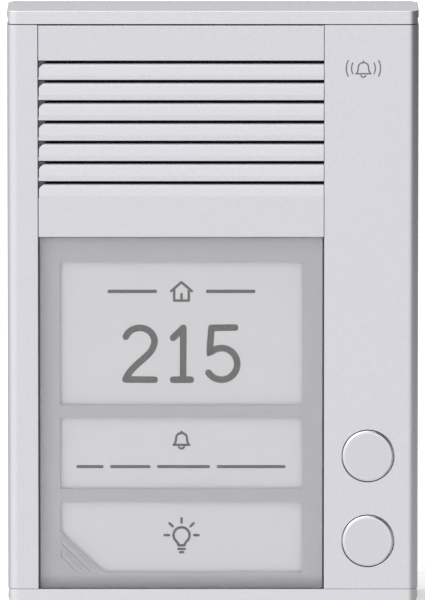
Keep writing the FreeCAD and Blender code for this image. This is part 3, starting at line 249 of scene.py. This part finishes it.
def woven(name, tone):
    m = Mat(name, 0.7, 0.0)
    a = m.new("ShaderNodeTexWave", Vector=m.where, Scale=700.0)
    a.bands_direction = "X"
    b = m.new("ShaderNodeTexWave", Vector=m.where, Scale=700.0)
    b.bands_direction = "Z"
    w = m.math("MULTIPLY", a.outputs["Fac"], b.outputs["Fac"])
    m.colour(m.ramp(w, [(0.1, shade(tone, 0.4)), (0.8, shade(tone, 1.8))]))
    m.bump(w, 0.5, 0.0001)
    return m.m


def film(name, tone, rough=0.6, edge_shade=False):
    """Printed translucent label film with a fine paper-like mottle.
    With the shade flag set, painted shade darkens the print towards the lower edge, the left edge and the top edge,
    where the walls round the window shade it."""
    m = Mat(name, rough, 0.0)
    f = m.noise(1500.0, 4.0, 0.65)
    c = m.ramp(f, [(0.3, shade(tone, 0.975)), (0.7, shade(tone, 1.02))])
    cloud = m.noise(55.0, 2.0)
    c = m.mix(m.span(cloud, 0.35, 0.65, 0.0, 0.5), c, shade(tone, 0.985))
    if edge_shade:
        # Painted shadow: darker towards the bottom cap, and a little towards the left strip and the louvre panel
        # above.
        sep = m.t.nodes.new("ShaderNodeSeparateXYZ")
        m.link(m.where, sep.inputs[0])
        c = m.mix(m.span(sep.outputs["Z"], -0.0968, -0.1018, 0.0, 1.0), c, shade(tone, 0.36))
        c = m.mix(m.math("MULTIPLY", m.span(sep.outputs["X"], -0.0568, -0.0605, 0.0, 1.0), 0.18), c, (0.0, 0.0, 0.0))
        c = m.mix(m.math("MULTIPLY", m.span(sep.outputs["Z"], 0.0215, 0.0245, 0.0, 1.0), 0.10), c, (0.0, 0.0, 0.0))
    m.colour(c)
    m.roughness(m.span(f, 0.3, 0.7, rough - 0.05, rough + 0.05))
    m.bump(f, 0.08, 0.00002)
    return m.m


def clear(name):
    """Clear plastic with a lightly frosted front and more opaque raised ribs, whose side walls carry painted shade.
    """
    m = Mat(name, 0.36, 0.0, IOR=1.49)
    sep = m.t.nodes.new("ShaderNodeSeparateXYZ")
    m.link(m.where, sep.inputs[0])
    rib = m.span(sep.outputs["Y"], -0.03322, -0.03324, 0.0, 1.0)
    # Painted shade: the side walls of the ribs are coloured dark, and they are also made more opaque.
    side = m.math("MULTIPLY", rib, m.span(sep.outputs["Y"], -0.03352, -0.03350, 0.0, 1.0))
    m.link(m.math("ADD", m.math("ADD", m.math("MULTIPLY", rib, 0.15), m.math("MULTIPLY", side, 0.50)), 0.09), m.p.inputs["Alpha"])
    f = m.noise(2400.0, 3.0, 0.6)
    m.colour(m.mix(side, m.ramp(f, [(0.3, (0.70, 0.70, 0.71)), (0.7, (0.76, 0.76, 0.77))]), (0.20, 0.20, 0.21)))
    m.roughness(m.span(f, 0.3, 0.7, 0.30, 0.42))
    m.bump(f, 0.10, 0.00002)
    return m.m


ALU = (0.742, 0.733, 0.783)
made = {
    # The housing metal carries painted shade on the walls of the sunken centre.
    "anodised_aluminium": anodised("anodised_aluminium", ALU, 0.36, (1.0, 1.0, 0.35), recess_shade=True),
    # The louvre metal carries painted shade in its slot throats.
    "louvre_aluminium": anodised("louvre_aluminium", (0.740, 0.730, 0.770), 0.36, (0.35, 1.0, 1.0), slot_shade_depth=(-0.03352, -0.0326)),
    "cap_aluminium": anodised("cap_aluminium", (0.765, 0.755, 0.785), 0.36, (0.35, 1.0, 1.0)),
    "clear_plastic": clear("clear_plastic"),
    # The mask film carries painted shadow along its edges.
    "mask_grey": film("mask_grey", (0.388, 0.388, 0.412), 0.55, edge_shade=True),
    "label_card": film("label_card", (0.606, 0.607, 0.620), 0.65),
    "opal_plastic": moulded("opal_plastic", (0.75, 0.75, 0.73), 0.30, vary=0.03),
    "zinc_steel": zinc("zinc_steel"),
    "screw_steel": steel("screw_steel", (0.55, 0.55, 0.56), 0.28),
    "black_rubber": moulded("black_rubber", (0.022, 0.022, 0.023), 0.62, 1200.0, 0.00006),
    "black_plastic": moulded("black_plastic", (0.028, 0.028, 0.030), 0.48),
    "circuit_board": circuit("circuit_board", (0.020, 0.115, 0.045)),
    "led_white": moulded("led_white", (0.80, 0.78, 0.62), 0.25, vary=0.05),
    "paper_cone": moulded("paper_cone", (0.040, 0.036, 0.033), 0.80, 500.0, 0.0002, 0.2),
    "mesh_cloth": woven("mesh_cloth", (0.030, 0.030, 0.031)),
    "magnet": moulded("magnet", (0.045, 0.045, 0.047), 0.50, 700.0, 0.0001, 0.2),
    "copper": steel("copper", (0.60, 0.26, 0.12), 0.30, (1.0, 12.0, 1.0)),
    "terminal_green": moulded("terminal_green", (0.030, 0.190, 0.080), 0.42),
    "relay_plastic": moulded("relay_plastic", (0.020, 0.045, 0.130), 0.35),
    "transformer_core": moulded("transformer_core", (0.085, 0.075, 0.060), 0.60, 600.0, 0.0001, 0.25),
    "capacitor_can": moulded("capacitor_can", (0.018, 0.020, 0.060), 0.30, 900.0),
    "chip_black": moulded("chip_black", (0.018, 0.018, 0.018), 0.55),
    "connector_white": moulded("connector_white", (0.62, 0.60, 0.54), 0.42, vary=0.05),
    "brass_insert": steel("brass_insert", (0.62, 0.46, 0.20), 0.30, (1.0, 8.0, 1.0)),
    "wire_red": moulded("wire_red", (0.30, 0.025, 0.022), 0.45),
}

for name, o in nodes.items():
    slot = slots[name]
    if name in ("top_cap", "bottom_cap"):
        slot = "cap_aluminium"
    if slot == "button_metal":
        continue
    mat = made[slot]
    o.data.materials.clear()
    o.data.materials.append(mat)


def button_material(centre_x, centre_z, name):
    """Satin face inside, polished edge outside, split by the distance from the button's own axis."""
    m = Mat(name, 0.36, 1.0)
    sep = m.t.nodes.new("ShaderNodeSeparateXYZ")
    m.link(m.where, sep.inputs[0])
    dx = m.math("SUBTRACT", sep.outputs["X"], centre_x)
    dz = m.math("SUBTRACT", sep.outputs["Z"], centre_z)
    r = m.math("SQRT", m.math("ADD", m.math("MULTIPLY", dx, dx), m.math("MULTIPLY", dz, dz)))
    edge = m.span(r, 0.00798, 0.00812, 0.0, 1.0, True)
    fine = m.noise(2600.0, 2.0, 0.6)
    face = m.ramp(fine, [(0.30, (0.690, 0.680, 0.727)), (0.70, (0.735, 0.725, 0.772))])
    m.colour(m.mix(edge, face, (0.73, 0.73, 0.745)))
    m.roughness(m.math("ADD", m.span(edge, 0.0, 1.0, 0.36, 0.075), m.math("MULTIPLY", m.span(fine, 0.3, 0.7, -0.03, 0.03), m.span(edge, 0.0, 1.0, 1.0, 0.2))))
    n = m.new("ShaderNodeBump", Distance=0.00005, Height=fine)
    m.link(m.span(edge, 0.0, 1.0, 0.10, 0.0), n.inputs["Strength"])
    m.link(n.outputs[0], m.p.inputs["Normal"])
    return m.m


for name in ("upper_button_cap", "lower_button_cap"):
    lo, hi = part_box(name)
    o = nodes[name]
    o.data.materials.clear()
    o.data.materials.append(button_material((lo[0] + hi[0]) / 2, (lo[2] + hi[2]) / 2, name + "_metal"))


# The window's flat front keeps its own normal right up to its rounded edge and the ribs.
flat = nodes["name_window"].modifiers.new("flat_front", "WEIGHTED_NORMAL")
flat.mode = "FACE_AREA"
flat.weight = 100
flat.keep_sharp = True

# The return springs, which shorten with their buttons towards their fixed ends, each get their own copy of their
# mesh.
for side in ("upper", "lower"):
    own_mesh(nodes[side + "_return_spring"])

# ------------------------------------------------------------------ printed symbols


def ink(name, tone):
    m = Mat(name, 0.6, 0.0)
    f = m.noise(1700.0, 3.0, 0.6)
    m.colour(m.ramp(f, [(0.3, shade(tone, 0.85)), (0.7, shade(tone, 1.18))]))
    m.roughness(m.span(f, 0.3, 0.7, 0.5, 0.7))
    return m.m


label_ink = ink("label_ink", (0.030, 0.029, 0.031))
strip_ink = ink("strip_ink", (0.170, 0.170, 0.175))


def arc(cx, cz, r, a0, a1, n=None, rz=None):
    """Points of an arc in millimetres, angles in degrees from +X towards +Z."""
    n = n or max(6, int(abs(a1 - a0) / 9))
    rz = rz or r
    return [
        (cx + r * math.cos(math.radians(a0 + (a1 - a0) * i / n)), cz + rz * math.sin(math.radians(a0 + (a1 - a0) * i / n)))
        for i in range(n + 1)
    ]


def bezier(p0, p1, p2, p3, n=12):
    out = []
    for i in range(n + 1):
        t = i / n
        k = ((1 - t) ** 3, 3 * t * (1 - t) ** 2, 3 * t * t * (1 - t), t ** 3)
        out.append(tuple(sum(w * p[j] for w, p in zip(k, (p0, p1, p2, p3))) for j in (0, 1)))
    return out


def chain(*parts):
    out = []
    for p in parts:
        for q in p:
            if not out or math.dist(out[-1], q) > 1e-4:
                out.append(q)
    return out


def printed(name, body, mat, y, strokes, thick=0.012):
    """Round-ended strokes of ink on the plane at y (mm), as one thin closed mesh each.
    strokes: (points in mm as x, z; width in mm)."""
    bm = bmesh.new()
    for k, (pts, width) in enumerate(strokes):
        h = width / 2
        front, back = y - thick - 0.0008 * k, y
        n = len(pts)
        left, right = [], []
        for i in range(n):
            a = Vector(pts[max(i - 1, 0)])
            b = Vector(pts[min(i + 1, n - 1)])
            d = (b - a).normalized()
            nrm = Vector((-d.y, d.x))
            p = Vector(pts[i])
            left.append(p + nrm * h)
            right.append(p - nrm * h)
        d0 = (Vector(pts[1]) - Vector(pts[0])).normalized()
        d1 = (Vector(pts[-1]) - Vector(pts[-2])).normalized()
        a0 = math.atan2(d0.y, d0.x)
        a1 = math.atan2(d1.y, d1.x)
        cap0 = [Vector(pts[0]) + h * Vector((math.cos(a0 + math.pi / 2 + math.pi * j / 8), math.sin(a0 + math.pi / 2 + math.pi * j / 8))) for j in range(1, 8)]
        cap1 = [Vector(pts[-1]) + h * Vector((math.cos(a1 - math.pi / 2 + math.pi * j / 8), math.sin(a1 - math.pi / 2 + math.pi * j / 8))) for j in range(1, 8)]

        def vert(p, yy):
            return bm.verts.new((p.x * MM, yy * MM, p.y * MM))

        rows = []
        for yy in (front, back):
            L = [vert(p, yy) for p in left]
            R = [vert(p, yy) for p in right]
            A = [vert(p, yy) for p in cap0]
            B = [vert(p, yy) for p in cap1]
            rows.append((L, R, A, B))
        for s, (L, R, A, B) in enumerate(rows):
            faces = [[L[i], R[i], R[i + 1], L[i + 1]] for i in range(n - 1)]
            faces.append([L[0]] + A + [R[0]])
            faces.append([R[-1]] + B + [L[-1]])
            for f in faces:
                bm.faces.new(f if s == 0 else list(reversed(f)))
        f0, b0 = rows
        rim_f = f0[0] + list(reversed(f0[3])) + list(reversed(f0[1])) + list(reversed(f0[2]))
        rim_b = b0[0] + list(reversed(b0[3])) + list(reversed(b0[1])) + list(reversed(b0[2]))
        m = len(rim_f)
        for i in range(m):
            j = (i + 1) % m
            bm.faces.new([rim_f[i], rim_f[j], rim_b[j], rim_b[i]])
    bmesh.ops.recalc_face_normals(bm, faces=bm.faces)
    me = bpy.data.meshes.new(name)
    bm.to_mesh(me)
    bm.free()
    o = bpy.data.objects.new(name, me)
    bpy.context.scene.collection.objects.link(o)
    me.materials.append(mat)
    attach(o, body)
    return o


def moved(paths, x, z, s=1.0):
    return [([(x + s * px, z + s * pz) for px, pz in p], w) for p, w in paths]


HOUSE = [
    ([(-3.7, 0.1), (0.0, 3.3)], 0.95),
    ([(0.0, 3.3), (3.7, 0.1)], 0.95),
    ([(-2.6, 0.3), (-2.6, -3.3)], 0.95),
    ([(-2.6, -3.3), (2.6, -3.3)], 0.95),
    ([(2.6, -3.3), (2.6, 0.3)], 0.95),
    ([(0.0, -3.0), (0.0, -1.0)], 0.95),
]
BELL_BODY = chain(
    bezier((-2.9, -1.9), (-1.9, -1.2), (-2.1, 0.2), (-1.9, 1.0)),
    bezier((-1.9, 1.0), (-1.6, 2.9), (1.6, 2.9), (1.9, 1.0)),
    bezier((1.9, 1.0), (2.1, 0.2), (1.9, -1.2), (2.9, -1.9)),
)


def bell(w):
    return [
        (BELL_BODY, w),
        ([(-2.9, -1.9), (2.9, -1.9)], w),
        (arc(0.0, -2.3, 0.95, 200, 340), w),
        ([(0.0, 2.4), (0.0, 3.0)], w),
    ]


BULB = [
    (chain([(-1.25, -2.0)], bezier((-1.25, -1.9), (-1.3, -0.6), (-3.1, -0.2), (-3.1, 1.9)), arc(0.0, 1.9, 3.1, 180, 0, 20), bezier((3.1, 1.9), (3.1, -0.2), (1.3, -0.6), (1.25, -1.9)), [(1.25, -2.0)]), 0.95),
    ([(-1.25, -2.1), (1.25, -2.1)], 0.95),
    ([(-1.2, -3.5), (1.2, -3.5)], 0.95),
    ([(-0.6, -4.8), (0.6, -4.8)], 0.95),
]
for a in (0, 45, 90, 135, 180):
    ca, sa = math.cos(math.radians(a)), math.sin(math.radians(a))
    BULB.append(([(4.9 * ca, 1.9 + 4.9 * sa), (6.6 * ca, 1.9 + 6.6 * sa)], 0.95))


def digit_two(x0, x1, z0, z1, w):
    h = w / 2
    l, r, b, t = x0 + h, x1 - h, z0 + h, z1 - h
    wd = r - l
    top = arc((l + r) / 2, t - wd * 0.46, wd / 2, 160, -28, 16, wd * 0.46)
    end = top[-1]
    sweep = bezier(end, (end[0] - 1.2, end[1] - 3.4), (l + 2.4, b + 5.4), (l + 0.3, b + 0.35), 12)
    return [(chain(top, sweep), w), ([(l + 0.2, b + 0.1), (r, b)], w)]


def digit_one(x0, x1, z0, z1, w):
    h = w / 2
    b, t = z0 + h, z1 - h
    mid = (x0 + x1) / 2 + 0.5
    return [
        ([(x0 + h, t - 3.6), (mid, t)], w),
        ([(mid, t), (mid - 0.1, b)], w),
        ([(x0 + h, b), (x1 - h, b)], w),
    ]


def digit_five(x0, x1, z0, z1, w):
    h = w / 2
    l, r, b, t = x0 + h, x1 - h, z0 + h, z1 - h
    cz = b + 5.7
    bowl = arc((l + r) / 2 - 0.35, cz, (r - l) / 2 + 0.25, 142, -146, 26, 5.7)
    return [
        ([(l + 1.4, t), (r - 0.9, t + 0.1)], w),
        (chain([(l + 1.4, t), (l + 0.75, t - 8.2)]), w),
        (chain([(l + 0.75, t - 8.2)], bowl), w),
    ]


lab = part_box("house_number_label")[0][1] / MM
zt, zb, sw = -6.9, -28.0, 2.42
number = (
    digit_two(-32.6, -19.6, zb, zt, sw)
    + digit_one(-15.4, -6.7, zb, zt, sw)
    + digit_five(-3.1, 10.0, zb, zt, sw)
)
printed("printed_house_number", "housing", label_ink, lab, number)
printed(
    "printed_house_symbol",
    "housing",
    label_ink,
    lab,
    moved(HOUSE, -11.2, 5.0) + [([(-37.0, 5.0), (-20.5, 5.0)], 1.25), ([(-1.9, 5.0), (14.6, 5.0)], 1.25)],
)
printed(
    "printed_bell_symbol",
    "housing",
    label_ink,
    lab,
    moved(bell(0.85), -11.2, -48.4, 0.98)
    + [([(a, -58.1), (b, -58.1)], 1.15) for a, b in ((-48.2, -39.6), (-36.2, -22.8), (-19.4, -1.6), (1.9, 25.4))],
)
printed("printed_light_symbol", "housing", label_ink, lab, moved(BULB, -11.2, -84.6, 0.92))
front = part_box("housing_profile")[0][1] / MM
waves = []
for sgn in (-1, 1):
    for rr in (4.6, 6.6):
        mid = 0 if sgn > 0 else 180
        waves.append((arc(0.0, 0.2, rr, mid - 27, mid + 27, 10), 0.5))
printed("printed_ringing_symbol", "housing", strip_ink, front, moved(bell(0.55) + waves, 53.5, 85.1, 0.92), 0.01)

# ------------------------------------------------------------------ floor, world, lights, camera

lo, hi = cad_box
floor_z = lo[2] - 0.0002
bpy.ops.mesh.primitive_plane_add(size=24.0, location=(0, 0, floor_z))
floor = bpy.context.object
floor.name = "floor"
fm = Mat("floor_paint", 0.9, 0.0)
pale = fm.ramp(fm.noise(3.0, 3.0), [(0.3, (0.88, 0.88, 0.88)), (0.7, (0.90, 0.90, 0.90))])
fm.p.inputs["Emission Color"].default_value = (1.0, 1.0, 1.0, 1.0)
fm.p.inputs["Emission Strength"].default_value = 0.35
fm.colour(pale)
# The metal mirrors the studio round it and not the floor.
floor.visible_glossy = False
floor.data.materials.append(fm.m)

world = bpy.data.worlds.new("studio")
bpy.context.scene.world = world
world.use_nodes = True
wt = world.node_tree
wt.nodes.clear()


def wnode(kind, **inputs):
    n = wt.nodes.new(kind)
    for k, v in inputs.items():
        if isinstance(v, bpy.types.NodeSocket):
            wt.links.new(v, n.inputs[k])
        else:
            n.inputs[k].default_value = v
    return n


def wdot(vec, d):
    n = wt.nodes.new("ShaderNodeVectorMath")
    n.operation = "DOT_PRODUCT"
    wt.links.new(vec, n.inputs[0])
    n.inputs[1].default_value = Vector(d).normalized()
    return n.outputs["Value"]


def wspan(v, a, b, c, d):
    n = wt.nodes.new("ShaderNodeMapRange")
    n.interpolation_type = "SMOOTHSTEP"
    wt.links.new(v, n.inputs["Value"])
    for k, x in (("From Min", a), ("From Max", b), ("To Min", c), ("To Max", d)):
        n.inputs[k].default_value = x
    return n.outputs["Result"]


def wmath(op, a, b):
    n = wt.nodes.new("ShaderNodeMath")
    n.operation = op
    for i, v in enumerate((a, b)):
        if isinstance(v, bpy.types.NodeSocket):
            wt.links.new(v, n.inputs[i])
        else:
            n.inputs[i].default_value = v
    return n.outputs[0]


direction = wnode("ShaderNodeTexCoord").outputs["Generated"]
level = wspan(wdot(direction, (0, -1, 0)), -1.0, 0.5, 0.575, 0.95)
level = wmath("MULTIPLY", level, wspan(wdot(direction, (0, 0, 1)), -0.50, 0.40, 0.87, 1.18))
# A dark studio side on the right, and a darker patch over it that the button edges pick up.
level = wmath("MULTIPLY", level, wspan(wdot(direction, (1, 0.10, 0.15)), 0.20, 0.62, 1.0, 0.20))
level = wmath("MULTIPLY", level, wspan(wdot(direction, (0.66, -0.15, 0.74)), 0.66, 0.86, 1.0, 0.05))
# A large soft source at the front left and a small one up on the left.
level = wmath("MULTIPLY", level, wspan(wdot(direction, (-0.75, -0.62, 0.0)), 0.45, 0.90, 1.0, 1.15))
level = wmath("MULTIPLY", level, wspan(wdot(direction, (-0.62, -0.30, 0.72)), 0.90, 0.96, 1.0, 2.4))
seen = wnode("ShaderNodeLightPath").outputs["Is Camera Ray"]
bg_light = wnode("ShaderNodeBackground", Strength=level)
bg_light.inputs["Color"].default_value = (1.0, 1.0, 1.0, 1.0)
bg_seen = wnode("ShaderNodeBackground", Strength=1.0)
bg_seen.inputs["Color"].default_value = (1.0, 1.0, 1.0, 1.0)
mixer = wt.nodes.new("ShaderNodeMixShader")
wt.links.new(seen, mixer.inputs[0])
wt.links.new(bg_light.outputs[0], mixer.inputs[1])
wt.links.new(bg_seen.outputs[0], mixer.inputs[2])
out = wt.nodes.new("ShaderNodeOutputWorld")
wt.links.new(mixer.outputs[0], out.inputs[0])


def area(name, at, to, size, power, colour=(1, 1, 1), size_y=None):
    l = bpy.data.lights.new(name, "AREA")
    l.energy = power
    l.color = colour
    l.shape = "RECTANGLE"
    l.size = size
    l.size_y = size_y or size
    o = bpy.data.objects.new(name, l)
    bpy.context.scene.collection.objects.link(o)
    o.location = at
    o.rotation_mode = "QUATERNION"
    o.rotation_quaternion = (Vector(to) - Vector(at)).to_track_quat("-Z", "Y")
    return o


area("top_soft", (0.0, 0.1, 2.6), (0.0, 0.1, 0.0), 3.4, 28.0)
# A dark flag stands on the right, out of the picture, a little paler towards its foot.
bpy.ops.mesh.primitive_plane_add(size=1.0, location=(0.32, 0.60, 0.15))
flag = bpy.context.object
flag.name = "flag"
flag.rotation_euler = (0.0, math.radians(90), 0.0)
flag.scale = (0.90, 2.0, 1.0)
flag_paint = Mat("flag_paint", 0.9, 0.0)
flag_paint.colour(flag_paint.ramp(flag_paint.noise(20.0, 2.0), [(0.3, (0.008, 0.008, 0.008)), (0.7, (0.012, 0.012, 0.012))]))
low_down = flag_paint.t.nodes.new("ShaderNodeSeparateXYZ")
flag_paint.link(flag_paint.where, low_down.inputs[0])
flag_paint.link(flag_paint.span(low_down.outputs["X"], -0.02, 0.38, 0.015, 0.50), flag_paint.p.inputs["Emission Strength"])
flag_paint.p.inputs["Emission Color"].default_value = (1.0, 1.0, 1.0, 1.0)
flag.data.materials.append(flag_paint.m)
flag.visible_camera = False

cam_data = bpy.data.cameras.new("camera")
cam = bpy.data.objects.new("camera", cam_data)
bpy.context.scene.collection.objects.link(cam)
bpy.context.scene.camera = cam
DIST, ELEV = 4.0, math.radians(7.3)
aim = Vector((-0.00014, lo[1], 0.00233))
cam.location = aim + DIST * Vector((0.0, -math.cos(ELEV), math.sin(ELEV)))
cam.rotation_mode = "QUATERNION"
cam.rotation_quaternion = (aim - cam.location).to_track_quat("-Z", "Y")
cam_data.sensor_width = 36.0
cam_data.sensor_fit = "AUTO"
cam_data.lens = 36.0 * DIST / (600 * 0.35627 * MM)
cam_data.clip_start, cam_data.clip_end = 0.1, 60.0

scene = bpy.context.scene
scene.view_settings.view_transform = "Standard"
scene.view_settings.look = "None"
scene.view_settings.exposure = 0.0
scene.view_settings.gamma = 1.0
